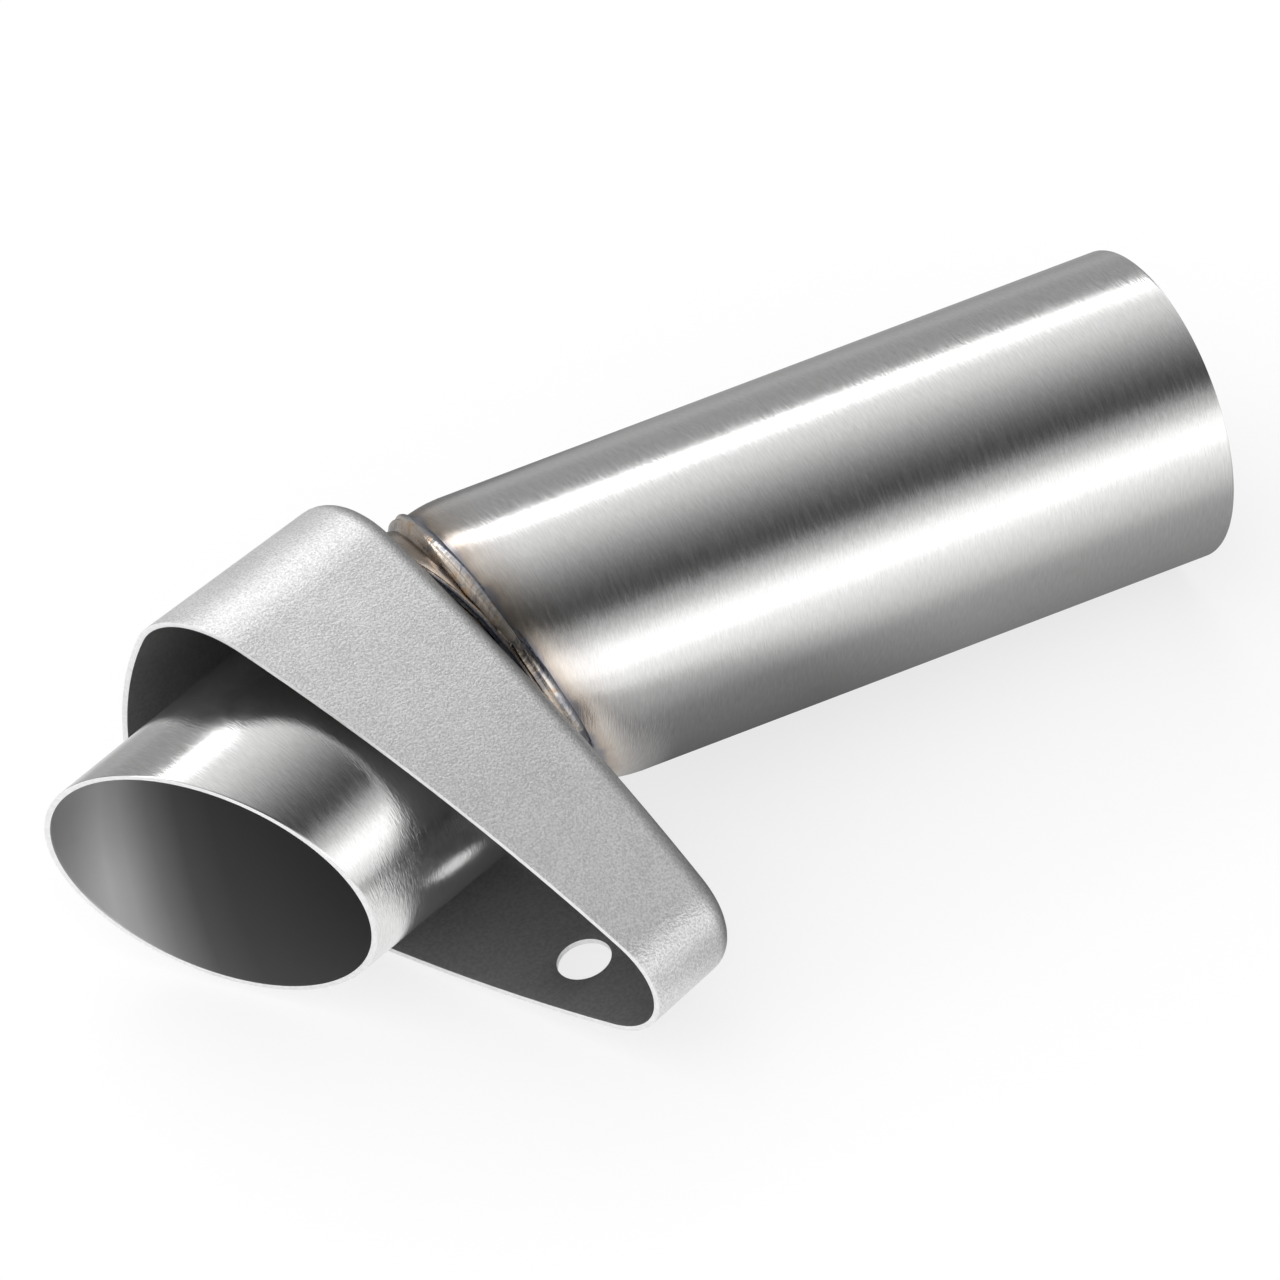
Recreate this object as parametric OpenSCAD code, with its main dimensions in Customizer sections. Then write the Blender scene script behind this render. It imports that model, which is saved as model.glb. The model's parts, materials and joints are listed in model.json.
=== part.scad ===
// Exhaust baffle insert. A straight tube is mitred and welded to a short outlet
// tube, which passes through a deep drawn teardrop cup and ends in a slanted mouth.
// A screw through one side wall of the cup holds the insert in the silencer.

/* [Tubes] */
// Outside diameter of both tubes
tube_od = 38.1; // [32:0.1:46]
// Wall thickness of both tubes
tube_wall = 0.7; // [0.5:0.1:1.5]
// Length of the main tube, from where the two axes meet to its far end
main_len = 89; // [60:1:140]
// Angle between the two tube axes
bend_angle = 17; // [8:0.5:24]
// Way the bend turns, from the cup's tip towards the screw wall
bend_turn = 21; // [0:1:45]
// Distance from the cup's back to the middle of the mouth
mouth_reach = 39; // [34:0.5:60]
// Slant of the mouth
mouth_slant = 23.5; // [5:0.5:32]

/* [Joint] */
// Shortest stretch of outlet tube between the cup's back and the joint
joint_clear = 1.9; // [1.8:0.1:6]
// Slant of the joint between the two tubes
joint_slant = 17; // [10:0.5:22]
// Way the joint's slant turns, from the cup's tip away from the screw wall
joint_turn = 62; // [40:1:80]
// Width of the weld bead round the joint
bead_w = 2.6; // [2:0.1:3.4]
// Height of that bead over the tubes
bead_h = 0.9; // [0.7:0.1:1.5]
// Leg of the fillet weld between the outlet tube and the cup, where it has room
fillet_leg = 1.3; // [0.8:0.1:2]

/* [Cup] */
// Thickness of the cup's sheet
sheet = 0.7; // [0.5:0.1:1.2]
// Depth of the cup, along the outlet tube's axis
cup_depth = 23.5; // [19:0.5:32]
// Slant of the cup's rim
rim_slant = 11.5; // [4:0.5:14]
// Draft of the cup's wall
draft = 2.5; // [0.5:0.5:5]
// Outer radius of the rounded back edge
edge_r = 3.5; // [2:0.5:5]
// Outer radius of the corners at the wide end
corner_r = 11; // [8:0.5:13]
// Outer radius of the wide end
end_r = 70; // [45:1:120]
// Outer radius of the long sides
side_r = 180; // [140:5:400]
// Outer radius of the narrow tip
tip_r = 9; // [7:0.5:11]
// Gap between the outlet tube and the wide end, at the cup's back
end_gap = 4; // [1:0.5:8]
// Gap between the outlet tube and each long side, at the cup's back
side_gap = 1.4; // [0.8:0.1:4]
// Distance from the outlet tube to the centre of the tip's radius
tip_gap = 19.5; // [14:0.5:28]
// Clearance between the outlet tube and its hole in the cup
hole_gap = 0.1; // [0.05:0.05:0.3]

/* [Screw hole] */
// Diameter of the screw hole
screw_d = 6.6; // [4:0.1:7]
// Distance from the centre of the tip's radius back to the screw hole
screw_setback = 6.4; // [4:0.1:12]
// Distance from the cup's back to the screw hole
screw_back = 9; // [8:0.1:10]

/* [Hidden] */
$fn = 128;

// Colours of the finishes
BRUSHED = [0.78, 0.78, 0.77];
BLASTED = [0.70, 0.70, 0.70];
TINTED = [0.62, 0.58, 0.53];

// Working frame: the outlet tube's axis is Z, the cup's flat back is z = 0 and faces +Z,
// X points to the cup's narrow tip and Y to the wall with the screw hole.
tube_r = tube_od / 2;
bore_r = tube_r - tube_wall;
over = 5;           // how far a cut runs past what it cuts
big = 4 * tube_od;  // side of a block that cuts at a slant

// The joint plane, and the directions of the tubes
joint_lift = joint_clear + tube_r * tan(joint_slant);
joint_up = [sin(joint_slant) * cos(joint_turn), -sin(joint_slant) * sin(joint_turn), cos(joint_slant)];
joint_mid = [0, 0, joint_lift];
main_dir = [sin(bend_angle) * cos(bend_turn), sin(bend_angle) * sin(bend_turn), cos(bend_angle)];
main_end = joint_mid + main_len * main_dir;

// The cup's outline at its back: a tip, two long sides, two corners and the wide end,
// all of them arcs that run into each other. h is half the distance between the corners' centres.
end_x = -(tube_r + end_gap + sheet);
end_mid = [end_x + end_r, 0];
tip_mid = [tube_r + tip_gap, 0];
function corner_at(h) = [end_mid[0] - sqrt(pow(end_r - corner_r, 2) - h * h), h];
function side_at(h) =
    let (c = corner_at(h), a = side_r - corner_r, b = side_r - tip_r, d = norm(tip_mid - c),
         u = (tip_mid - c) / d, along = (a * a - b * b + d * d) / (2 * d))
    c + along * u + sqrt(a * a - along * along) * [u[1], -u[0]];
function side_room(h) = side_r - norm(side_at(h)) - tube_r - sheet;
// The corners spread until the long sides clear the outlet tube by side_gap
function spread(low, high, steps) =
    let (h = (low + high) / 2)
    steps == 0 ? h : side_room(h) > side_gap ? spread(low, h, steps - 1) : spread(h, high, steps - 1);
half_gap = spread(1, 2 * tube_r, 40);
corner_mid = corner_at(half_gap);
side_mid = side_at(half_gap);
function heading(v) = atan2(v[1], v[0]);
tip_turn = heading(tip_mid - side_mid);
side_turn = heading(corner_mid - side_mid);
corner_turn = heading(corner_mid - end_mid);

// The wall's section: x runs outwards from the outline and y along the outlet tube
knuckle = [-edge_r * (1 - sin(draft)) / cos(draft), -edge_r];
wall_len = cup_depth + (over - end_x) * tan(rim_slant) + over;
flange = (min(corner_r, tip_r) - edge_r) / 2;
// Each arc runs past where it meets the next by this much, and the tip and corners lie a hair inside
lap = 0.3;
hair = 0.02;

// The screw hole's place on the long side
screw_x = tip_mid[0] - screw_setback;
screw_turn = acos((screw_x - side_mid[0]) / side_r);
screw_reach = side_r + screw_back * tan(draft);

// How the part lies: on the rim of its screw wall and the lower edge of the main tube's far end.
// lie_roll is where it balances, and the pitch is found from the heights of both places.
lie_roll = 12.4;
rim_from = 20;
function up_dir(pitch) = [-sin(lie_roll), cos(lie_roll) * sin(pitch), cos(lie_roll) * cos(pitch)];
function rim_point(turn) =
    let (x = (side_mid[0] + (side_r + tan(draft) * cup_depth) * cos(turn)) / (1 + tan(draft) * tan(rim_slant) * cos(turn)),
         z = -cup_depth + tan(rim_slant) * x)
    [x, side_mid[1] + (side_r - tan(draft) * z) * sin(turn), z];
function rim_height(pitch) =
    min([for (i = [0:rim_from]) rim_point(tip_turn + (side_turn - tip_turn) * i / rim_from) * up_dir(pitch)]);
function end_height(pitch) =
    let (up = up_dir(pitch)) main_end * up - tube_r * sqrt(1 - pow(main_dir * up, 2));
function level(low, high, steps) =
    let (pitch = (low + high) / 2)
    steps == 0 ? pitch
        : end_height(pitch) > rim_height(pitch) ? level(low, pitch, steps - 1) : level(pitch, high, steps - 1);
lie_pitch = level(-100, -70, 30);

// Lays the working frame down, with the main tube's far end at the origin and its axis over X
module laid() {
    yaw = heading([main_dir[0] * cos(lie_roll)
                       + (main_dir[1] * sin(lie_pitch) + main_dir[2] * cos(lie_pitch)) * sin(lie_roll),
                   main_dir[1] * cos(lie_pitch) - main_dir[2] * sin(lie_pitch)]);
    rotate([lie_pitch, lie_roll, -yaw]) translate(-main_end) children();
}

// A block with its flat side through the origin, on the +Z side or on the -Z side
module block(side) {
    translate([-big / 2, -big / 2, side > 0 ? 0 : -big]) cube(big);
}

module at_joint() {
    translate(joint_mid) rotate([0, 0, -joint_turn]) rotate([0, joint_slant, 0]) children();
}

module pipe(r, low, high) {
    translate([0, 0, low]) cylinder(r = r, h = high - low);
}

// Section of the drawn wall: a straight drafted skirt, a rounded edge and a strip of the flat back.
// skimmed is how far both faces lie inside the sheet's own.
module wall_section(skimmed) {
    outer = edge_r - skimmed;
    inner = edge_r - sheet + skimmed;
    translate(knuckle) {
        intersection() {
            rotate(draft) {
                translate([inner, -wall_len]) square([outer - inner, wall_len]);
                intersection() {
                    difference() {
                        circle(outer);
                        circle(inner);
                    }
                    translate([-2 * edge_r, 0]) square([4 * edge_r, 2 * edge_r]);
                }
            }
            translate([0, -2 * wall_len]) square(3 * wall_len);
        }
        translate([-flange, inner]) square([flange, outer - inner]);
    }
}

// One arc of the cup's wall, round its own centre
module wall_arc(mid, r, from, to, skimmed = 0) {
    run_on = lap / r * 180 / PI;
    translate([mid[0], mid[1], 0]) rotate([0, 0, from - run_on])
        rotate_extrude(angle = to - from + 2 * run_on) translate([r, 0]) wall_section(skimmed);
}

// The flat back runs to the middle of the strip that each arc of the wall brings
function inset(mid, r, turn) = mid + (r + knuckle[0] - flange / 2) * [cos(turn), sin(turn)];
function fan(mid, r, from, to, n) = [for (i = [0:n]) inset(mid, r, from + (to - from) * i / n)];
half_back = concat(fan(tip_mid, tip_r, 0, tip_turn, 4), fan(side_mid, side_r, tip_turn, side_turn, 4),
                   fan(corner_mid, corner_r, side_turn, corner_turn, 4),
                   fan(end_mid, end_r, corner_turn, 180, 2));
back_outline = concat(half_back, [for (i = [len(half_back) - 2:-1:1]) [half_back[i][0], -half_back[i][1]]]);

module main_tube() {
    color(BRUSHED) laid() difference() {
        translate(joint_mid) rotate([0, 0, bend_turn]) rotate([0, bend_angle, 0]) difference() {
            pipe(tube_r, -tube_r, main_len);
            pipe(bore_r, -tube_r - over, main_len + over);
        }
        at_joint() block(-1);
    }
}

module outlet_tube() {
    low = -mouth_reach - tube_r * tan(mouth_slant) - over;
    high = joint_lift + tube_r * tan(joint_slant) + over;
    color(BRUSHED) laid() difference() {
        pipe(tube_r, low, high);
        pipe(bore_r, low - over, high + over);
        translate([0, 0, -mouth_reach]) rotate([0, -mouth_slant, 0]) block(-1);
        at_joint() block(1);
    }
}

module end_cup() {
    color(BLASTED) laid() difference() {
        union() {
            wall_arc(tip_mid, tip_r, -tip_turn, tip_turn, hair);
            wall_arc(end_mid, end_r, corner_turn, 360 - corner_turn);
            for (flip = [0, 1]) mirror([0, flip, 0]) {
                wall_arc(side_mid, side_r, tip_turn, side_turn);
                wall_arc(corner_mid, corner_r, side_turn, corner_turn, hair);
            }
            translate([0, 0, -sheet]) linear_extrude(sheet) polygon(back_outline);
        }
        translate([0, 0, -cup_depth]) rotate([0, -rim_slant, 0]) block(-1);
        pipe(tube_r + hole_gap, -over, over);
        translate([side_mid[0] + screw_reach * cos(screw_turn), side_mid[1] + screw_reach * sin(screw_turn), -screw_back])
            rotate([0, 0, screw_turn]) rotate([0, 90 - draft, 0])
                cylinder(d = screw_d, h = 2 * over, center = true);
    }
}

// Welds. Each is a closed ring of equal sections, one for each step round the tube.
steps = 96;
skin = 0.02;   // a bead's flat steps stay this far off the round tube
crown = 6;     // steps over a bead's back
// Surface point of a tube round an axis through the joint's middle, moved along it to the joint plane
function on_joint(dir, out) =
    let (p = (tube_r + skin) * out) joint_mid + p - dir * ((p * joint_up) / (dir * joint_up));
main_x = [cos(bend_angle) * cos(bend_turn), cos(bend_angle) * sin(bend_turn), -sin(bend_angle)];
main_y = [-sin(bend_turn), cos(bend_turn), 0];
function arch(a, b, out, high) =
    [for (i = [1:crown - 1]) let (u = i / crown) a + u * (b - a) + 4 * u * (1 - u) * high * out];
function bead_section(t) =
    let (out_a = [cos(t), sin(t), 0],
         s = t - bend_turn,
         out_b = cos(s) * main_x + sin(s) * main_y,
         foot_a = on_joint([0, 0, 1], out_a), foot_b = on_joint(main_dir, out_b),
         edge_a = foot_a - [0, 0, bead_w / 2], edge_b = foot_b + bead_w / 2 * main_dir,
         out = (out_a + out_b) / norm(out_a + out_b))
    concat([edge_a, foot_a, foot_b, edge_b], arch(edge_b, edge_a, out, bead_h));
// Room on the outlet tube between the cup's back and the joint bead
function stub(t) = on_joint([0, 0, 1], [cos(t), sin(t), 0])[2] - bead_w / 2;
function fillet_section(t) =
    let (out = [cos(t), sin(t), 0], leg = min(fillet_leg, stub(t) - 2 * skin),
         foot = (tube_r + skin) * out + [0, 0, skin],
         high = foot + [0, 0, leg], wide = foot + fillet_leg * out)
    concat([high, foot, wide], arch(wide, high, (out + [0, 0, 1]) / sqrt(2), leg / 8));
module ring_of(sections) {
    n = len(sections);
    m = len(sections[0]);
    points = [for (s = sections) for (p = s) p];
    faces = [for (i = [0:n - 1]) for (j = [0:m - 1])
        let (a = i * m + j, b = i * m + (j + 1) % m, c = (i + 1) % n * m + j, d = (i + 1) % n * m + (j + 1) % m)
        each [[a, c, b], [b, c, d]]];
    polyhedron(points = points, faces = faces, convexity = 6);
}

module joint_weld() {
    color(TINTED) laid() ring_of([for (i = [0:steps - 1]) bead_section(i * 360 / steps)]);
}

module cup_weld() {
    color(TINTED) laid() ring_of([for (i = [0:steps - 1]) fillet_section(i * 360 / steps)]);
}

main_tube();
outlet_tube();
end_cup();
joint_weld();
cup_weld();
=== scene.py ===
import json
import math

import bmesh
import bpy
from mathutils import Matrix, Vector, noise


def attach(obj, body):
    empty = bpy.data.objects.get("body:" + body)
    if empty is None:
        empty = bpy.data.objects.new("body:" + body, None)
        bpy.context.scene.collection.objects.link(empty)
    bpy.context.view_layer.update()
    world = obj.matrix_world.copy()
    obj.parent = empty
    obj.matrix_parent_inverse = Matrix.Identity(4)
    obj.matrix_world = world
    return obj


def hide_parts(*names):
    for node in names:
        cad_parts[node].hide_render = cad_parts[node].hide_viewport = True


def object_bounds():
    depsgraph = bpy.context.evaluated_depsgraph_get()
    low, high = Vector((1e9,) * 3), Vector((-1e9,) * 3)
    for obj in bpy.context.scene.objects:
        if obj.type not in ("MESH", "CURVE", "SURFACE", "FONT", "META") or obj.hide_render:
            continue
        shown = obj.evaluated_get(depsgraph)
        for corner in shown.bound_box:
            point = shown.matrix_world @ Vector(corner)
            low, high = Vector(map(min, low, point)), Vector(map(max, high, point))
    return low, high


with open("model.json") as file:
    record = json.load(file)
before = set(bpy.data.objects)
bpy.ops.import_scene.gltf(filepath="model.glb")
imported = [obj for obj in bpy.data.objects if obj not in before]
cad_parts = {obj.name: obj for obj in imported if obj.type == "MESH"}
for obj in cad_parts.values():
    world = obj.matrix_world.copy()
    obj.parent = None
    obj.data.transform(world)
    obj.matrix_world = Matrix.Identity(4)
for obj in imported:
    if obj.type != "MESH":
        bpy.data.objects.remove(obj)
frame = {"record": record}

# %% [markdown]
# # A welded exhaust baffle
#
# The real object is a stainless steel insert: a straight tube is mitred and welded to a short
# outlet tube, and the outlet passes through a deep pressed cup and ends in a slanted mouth. The
# imported CAD part that was just loaded fixes every size. This lesson dresses it: each piece is
# modelled again with cleaner edges, and gets its own finish. The CAD box is kept first, because
# the pieces are later drawn in about its middle.

MM = 0.001


def as_lists(box):
    """Two corners as plain lists, which json can write."""
    return [list(corner) for corner in box]


cad_box = as_lists(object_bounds())
print("CAD box, m:", cad_box)

# %% [markdown]
# ## A working frame
#
# The cup and the outlet tube are simple shapes only in their own frame: the outlet's axis is Z, the
# cup's flat back is z = 0, X points to the cup's narrow tip and Y to the wall with the screw
# hole. So every piece is drawn there, in millimetres, and is moved to its place on the floor at
# the end. The sizes are the part's own driving dimensions. Each is written once, and all other
# places are worked out from them.

# %% Driving sizes
TUBE_R = 19.05
TUBE_WALL = 0.7
MAIN_LEN = 89.0
BEND_ANGLE = math.radians(17.0)
BEND_TURN = math.radians(21.0)
MOUTH_REACH = 39.0
MOUTH_SLANT = math.radians(23.5)
JOINT_CLEAR = 1.9
JOINT_SLANT = math.radians(17.0)
JOINT_TURN = math.radians(62.0)
BEAD_W = 2.6
BEAD_H = 0.9
FILLET_LEG = 1.3
SHEET = 0.7
CUP_DEPTH = 23.5
RIM_SLANT = math.radians(11.5)
DRAFT = math.radians(2.5)
EDGE_R = 3.5
CORNER_R = 11.0
END_R = 70.0
SIDE_R = 180.0
TIP_R = 9.0
END_GAP = 4.0
SIDE_GAP = 1.4
TIP_GAP = 19.5
HOLE_GAP = 0.1
SCREW_D = 6.6
SCREW_SETBACK = 6.4
SCREW_BACK = 9.0
BORE_R = TUBE_R - TUBE_WALL
print("tubes, mm across:", 2 * TUBE_R, "outside,", 2 * BORE_R, "inside")

# %% [markdown]
# ## Directions and cuts
#
# A saw leaves a plane, so each cut is kept as a point and the direction square to it: the mitre
# between the tubes, the slanted mouth and the slanted rim. The cuts could be turned by hand until
# they look right, but a change of size would undo that. Here a lean and a turn give each
# direction, and the mitre's place follows from the room it leaves above the cup's back.

# %% Directions and the joint plane
Z_AXIS = Vector((0, 0, 1))


def aim(slant, turn):
    """A direction that leans away from +Z by slant, towards turn."""
    return Vector((math.sin(slant) * math.cos(turn), math.sin(slant) * math.sin(turn), math.cos(slant)))


main_dir = aim(BEND_ANGLE, BEND_TURN)
main_x = aim(BEND_ANGLE + math.pi / 2, BEND_TURN)
main_y = Vector((-math.sin(BEND_TURN), math.cos(BEND_TURN), 0))
joint_up = aim(JOINT_SLANT, -JOINT_TURN)
joint_mid = Vector((0, 0, JOINT_CLEAR + TUBE_R * math.tan(JOINT_SLANT)))
main_end = joint_mid + MAIN_LEN * main_dir
mouth_up = aim(MOUTH_SLANT, math.pi)
mouth_mid = Vector((0, 0, -MOUTH_REACH))
rim_up = aim(RIM_SLANT, math.pi)
rim_mid = Vector((0, 0, -CUP_DEPTH))
print("middle of the mitre, mm:", [round(v, 2) for v in joint_mid])

# %% [markdown]
# ## The cup's outline
#
# The outline is a teardrop: a tip, two long sides, two corners and a wide end, all arcs that run
# into each other. Two arcs that touch inside each other have their centres on one line with the
# point where they meet, so each centre follows from its neighbours. The corners spread until the
# long sides clear the outlet tube by the gap that the part asks for, which a short bisection finds.

# %% Centres of the outline's arcs
HALVINGS = 40
end_mid = Vector((-(TUBE_R + END_GAP + SHEET) + END_R, 0, 0))
tip_mid = Vector((TUBE_R + TIP_GAP, 0, 0))


def corner_at(half):
    """Centre of the corner arc that stands half the spread from the middle line."""
    return Vector((end_mid.x - math.sqrt((END_R - CORNER_R) ** 2 - half * half), half, 0))


def side_at(half):
    """Centre of the long side's arc, which touches the tip's and the corner's from outside."""
    corner = corner_at(half)
    to_corner, to_tip = SIDE_R - CORNER_R, SIDE_R - TIP_R
    apart = (tip_mid - corner).length
    toward = (tip_mid - corner) / apart
    along = (to_corner ** 2 - to_tip ** 2 + apart ** 2) / (2 * apart)
    across = Vector((toward.y, -toward.x, 0))
    return corner + along * toward + math.sqrt(to_corner ** 2 - along ** 2) * across


low, high = 1.0, 2 * TUBE_R
for _ in range(HALVINGS):
    spread = (low + high) / 2
    room = SIDE_R - side_at(spread).length - TUBE_R - SHEET
    low, high = (low, spread) if room > SIDE_GAP else (spread, high)
corner_mid = corner_at(spread)
side_mid = side_at(spread)


def heading(vector):
    """Angle of a direction in the XY plane."""
    return math.atan2(vector.y, vector.x)


tip_turn = heading(tip_mid - side_mid)
side_turn = heading(corner_mid - side_mid)
corner_turn = heading(corner_mid - end_mid)
print("corner centre, mm:", [round(v, 2) for v in corner_mid])

# %% [markdown]
# ## From the working frame to the row's frame
#
# The part lies tilted on the floor. Its angles could be measured, but its mounts already tell
# them: the directions of the main tube and of the screw hole are known in both frames, and two
# directions fix a turn. The screw hole sits square in the drafted wall, on the arc of the long
# side. The CAD's round skins are made of small flats, so true round ones stand out of its box by
# a hair. All pieces are therefore drawn in by less than a thousandth, about the box's middle.

# %% The screw hole's place
screw_turn = math.acos((tip_mid.x - SCREW_SETBACK - side_mid.x) / SIDE_R)
screw_dir = aim(math.pi / 2 - DRAFT, screw_turn)
wall_here = SIDE_R + SCREW_BACK * math.tan(DRAFT)
screw_out = Vector((math.cos(screw_turn), math.sin(screw_turn), 0))
screw_at = side_mid + wall_here * screw_out - SCREW_BACK * Z_AXIS
print("screw hole's centre, mm:", [round(v, 2) for v in screw_at])


# %% The turn and the shift to the row's frame
HAIR = 0.9992


def right_angled(first, second):
    """A turn whose first axis is first and whose last is square to both."""
    third = first.cross(second).normalized()
    return Matrix((first, third.cross(first), third)).transposed()


mounts = {m["name"]: m for m in frame["record"]["mounts"]}
row_main = Vector(mounts["free_end"]["axis"]).normalized()
row_screw = Vector(mounts["screw_hole"]["axis"]).normalized()
turn = right_angled(row_main, row_screw) @ right_angled(main_dir, screw_dir).transposed()
row_end = Vector(mounts["free_end"]["pos_m"])
to_metres = Matrix.Diagonal((MM, MM, MM, 1))
exact = Matrix.Translation(row_end) @ turn.to_4x4() @ to_metres @ Matrix.Translation(-main_end)
box_middle = (Vector(cad_box[0]) + Vector(cad_box[1])) / 2
PLACE = (Matrix.Translation(box_middle) @ Matrix.Diagonal((HAIR, HAIR, HAIR, 1))
         @ Matrix.Translation(-box_middle) @ exact)
print("screw hole, mm in the row:", [round(v / MM, 2) for v in PLACE @ screw_at])

# %% [markdown]
# ## Helpers for materials
#
# A material is a tree of nodes: textures feed numbers through some arithmetic into the sockets of
# a shader. Made by hand, each node takes four or five lines, so short helpers make them here,
# and a material then reads like a formula. No picture is painted on: each pattern is worked out
# from a point's place on the object, so it stays sharp however near the camera comes.

# %% Sockets, groups and coordinates
def colour_of(value):
    """A colour with its alpha, from three numbers, or from one number for a grey."""
    return (*(value if isinstance(value, (tuple, list)) else (value, value, value)), 1.0)


def feed(tree, socket, value):
    """Sets a socket to a plain value, or links another node's socket to it."""
    if isinstance(value, bpy.types.NodeSocket):
        tree.links.new(value, socket)
    else:
        socket.default_value = colour_of(value) if socket.type == "RGBA" else value


def feed_all(tree, node, values):
    """Feeds the sockets of a node that are named."""
    for label, value in values.items():
        feed(tree, node.inputs[label], value)


def node_group(name, inputs, outputs):
    """An empty shader group. Returns it, the sockets it is given and the sockets it gives."""
    group = bpy.data.node_groups.new(name, "ShaderNodeTree")
    for label, kind, value in inputs:
        socket = group.interface.new_socket(name=label, in_out="INPUT", socket_type=kind)
        socket.default_value = value
    for label, kind in outputs:
        group.interface.new_socket(name=label, in_out="OUTPUT", socket_type=kind)
    print("node group:", name)
    return group, group.nodes.new("NodeGroupInput").outputs, group.nodes.new("NodeGroupOutput").inputs


def placed_group(tree, group, values):
    """A group placed in a tree with its own values. Returns its outputs."""
    node = tree.nodes.new("ShaderNodeGroup")
    node.node_tree = group
    feed_all(tree, node, values)
    return node.outputs


def new_material(name):
    """A material with an empty Principled shader. Returns it, its node tree and its shader."""
    material = bpy.data.materials.new(name)
    material.use_nodes = True
    print("material:", name)
    return material, material.node_tree, material.node_tree.nodes["Principled BSDF"]


def coordinates(tree, kind="Object"):
    """A point's coordinates. Object coordinates are metres in the row's frame."""
    return tree.nodes.new("ShaderNodeTexCoord").outputs[kind]


# %% Numbers and vectors
def math_node(tree, operation, first, second=0.0):
    """A Math node, fed by sockets or plain numbers."""
    node = tree.nodes.new("ShaderNodeMath")
    node.operation = operation
    feed(tree, node.inputs[0], first)
    feed(tree, node.inputs[1], second)
    return node.outputs[0]


def weighed_sum(tree, first, second, share):
    """Two values added up: a share of the second, and the rest of the first."""
    return math_node(tree, "ADD", math_node(tree, "MULTIPLY", first, 1 - share),
                     math_node(tree, "MULTIPLY", second, share))


def remap_node(tree, value, from_low, from_high, to_low=0.0, to_high=1.0):
    """A clamped Map Range."""
    node = tree.nodes.new("ShaderNodeMapRange")
    feed_all(tree, node, {"Value": value, "From Min": from_low, "From Max": from_high,
                          "To Min": to_low, "To Max": to_high})
    return node.outputs[0]


def vector_node(tree, operation, first, second, output=0):
    """A Vector Math node, fed by sockets or plain vectors."""
    node = tree.nodes.new("ShaderNodeVectorMath")
    node.operation = operation
    feed(tree, node.inputs[0], first)
    feed(tree, node.inputs[1], second)
    return node.outputs[output]


def dot_node(tree, first, second):
    """How far one vector reaches along another."""
    return vector_node(tree, "DOT_PRODUCT", first, second, output=1)


def distance_along(tree, point, start, direction):
    """How far a point lies from a start along a direction, in metres."""
    return dot_node(tree, vector_node(tree, "SUBTRACT", point, start), direction)


def joined(tree, first, second):
    """A vector from two numbers, with 0 for the third."""
    node = tree.nodes.new("ShaderNodeCombineXYZ")
    feed(tree, node.inputs[0], first)
    feed(tree, node.inputs[1], second)
    return node.outputs[0]


def split(tree, vector):
    """The three numbers of a vector."""
    node = tree.nodes.new("ShaderNodeSeparateXYZ")
    feed(tree, node.inputs[0], vector)
    return node.outputs


# %% Patterns, colours and bumps
def noise_node(tree, vector, scale, detail=2.0, roughness=0.5, distortion=0.0):
    """A Noise texture's grey value."""
    node = tree.nodes.new("ShaderNodeTexNoise")
    feed_all(tree, node, {"Vector": vector, "Scale": scale, "Detail": detail, "Roughness": roughness,
                          "Distortion": distortion})
    return node.outputs[0]


def ramp_node(tree, factor, stops, interpolation="LINEAR"):
    """A Color Ramp through stops, each a position and a colour, or a number for a grey."""
    node = tree.nodes.new("ShaderNodeValToRGB")
    ramp = node.color_ramp
    ramp.interpolation = interpolation
    while len(ramp.elements) < len(stops):
        ramp.elements.new(1.0)
    for element, (position, colour) in zip(ramp.elements, stops):
        element.position = position
        element.color = colour_of(colour)
    tree.links.new(factor, node.inputs[0])
    return node.outputs[0]


def mix_colour(tree, factor, first, second, blend="MIX"):
    """A Mix node for colours, whose factor and A and B sockets are its inputs 0, 6 and 7."""
    node = tree.nodes.new("ShaderNodeMix")
    node.data_type = "RGBA"
    node.blend_type = blend
    for index, value in ((0, factor), (6, first), (7, second)):
        feed(tree, node.inputs[index], value)
    return node.outputs[2]


def multiplied(tree, first, second, share=1.0):
    """One colour darkened by another."""
    return mix_colour(tree, share, first, second, blend="MULTIPLY")


def bump_node(tree, height, distance, strength=1.0):
    """A Bump node's normal, for grooves of a depth in metres."""
    node = tree.nodes.new("ShaderNodeBump")
    feed_all(tree, node, {"Height": height, "Distance": distance, "Strength": strength})
    return node.outputs[0]


# %% [markdown]
# ## Brushed scratches
#
# Brushed steel is a mirror with fine scratches all one way. They are short streaks that run
# round the tube, so their pattern needs the place along the tube and the angle round it. One
# node group works both out from Object coordinates, and a second one turns them into scratches:
# one noise stretched along the scratch for depth, and a coarser one for the uneven shine. A
# photographed texture would do too, but it would show a seam and its own pixels.

# %% A group that measures along and round a tube
VECTOR = "NodeSocketVector"
NUMBER = "NodeSocketFloat"
round_tube, given, gives = node_group(
    "Round a tube",
    [("Point", VECTOR, (0, 0, 0)), ("Middle", VECTOR, (0, 0, 0)), ("Axis", VECTOR, (0, 0, 1)),
     ("Side", VECTOR, (1, 0, 0))],
    [("Along", NUMBER), ("Around", NUMBER)])
offset = vector_node(round_tube, "SUBTRACT", given["Point"], given["Middle"])
across = vector_node(round_tube, "CROSS_PRODUCT", given["Axis"], given["Side"])
toward = dot_node(round_tube, offset, given["Side"])
sideways = dot_node(round_tube, offset, across)
feed(round_tube, gives["Along"], dot_node(round_tube, offset, given["Axis"]))
feed(round_tube, gives["Around"], math_node(round_tube, "ARCTAN2", sideways, toward))

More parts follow.
